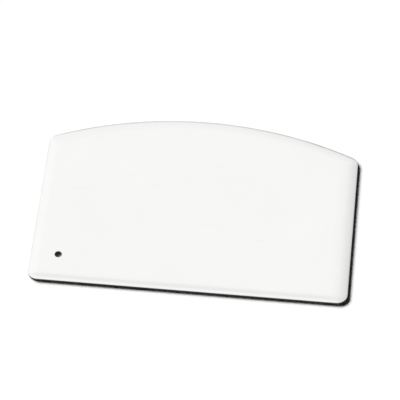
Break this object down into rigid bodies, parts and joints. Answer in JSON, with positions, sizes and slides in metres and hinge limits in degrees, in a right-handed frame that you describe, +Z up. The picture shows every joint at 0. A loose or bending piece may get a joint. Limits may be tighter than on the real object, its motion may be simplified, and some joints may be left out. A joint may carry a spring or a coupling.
{
  "type": "dough scraper",
  "caption": "White moulded plastic dough scraper: a flat plate with a straight edge, a curved edge, rounded corners, a slightly thinner rim and a hanging hole.",
  "frame": {"origin": "middle of the plate's bounding box, on the flat underside it lies on", "axes": "+X along the straight edge, away from the hanging hole; +Y from the straight edge to the curved edge; +Z up, out of the face with the sloped rim"},
  "size_m": [0.1906, 0.127, 0.0026],
  "materials": {
    "white_plastic": "satin"
  },
  "bodies": {
    "root": {"scraper_plate": "white_plastic"}
  },
  "joints": []
}
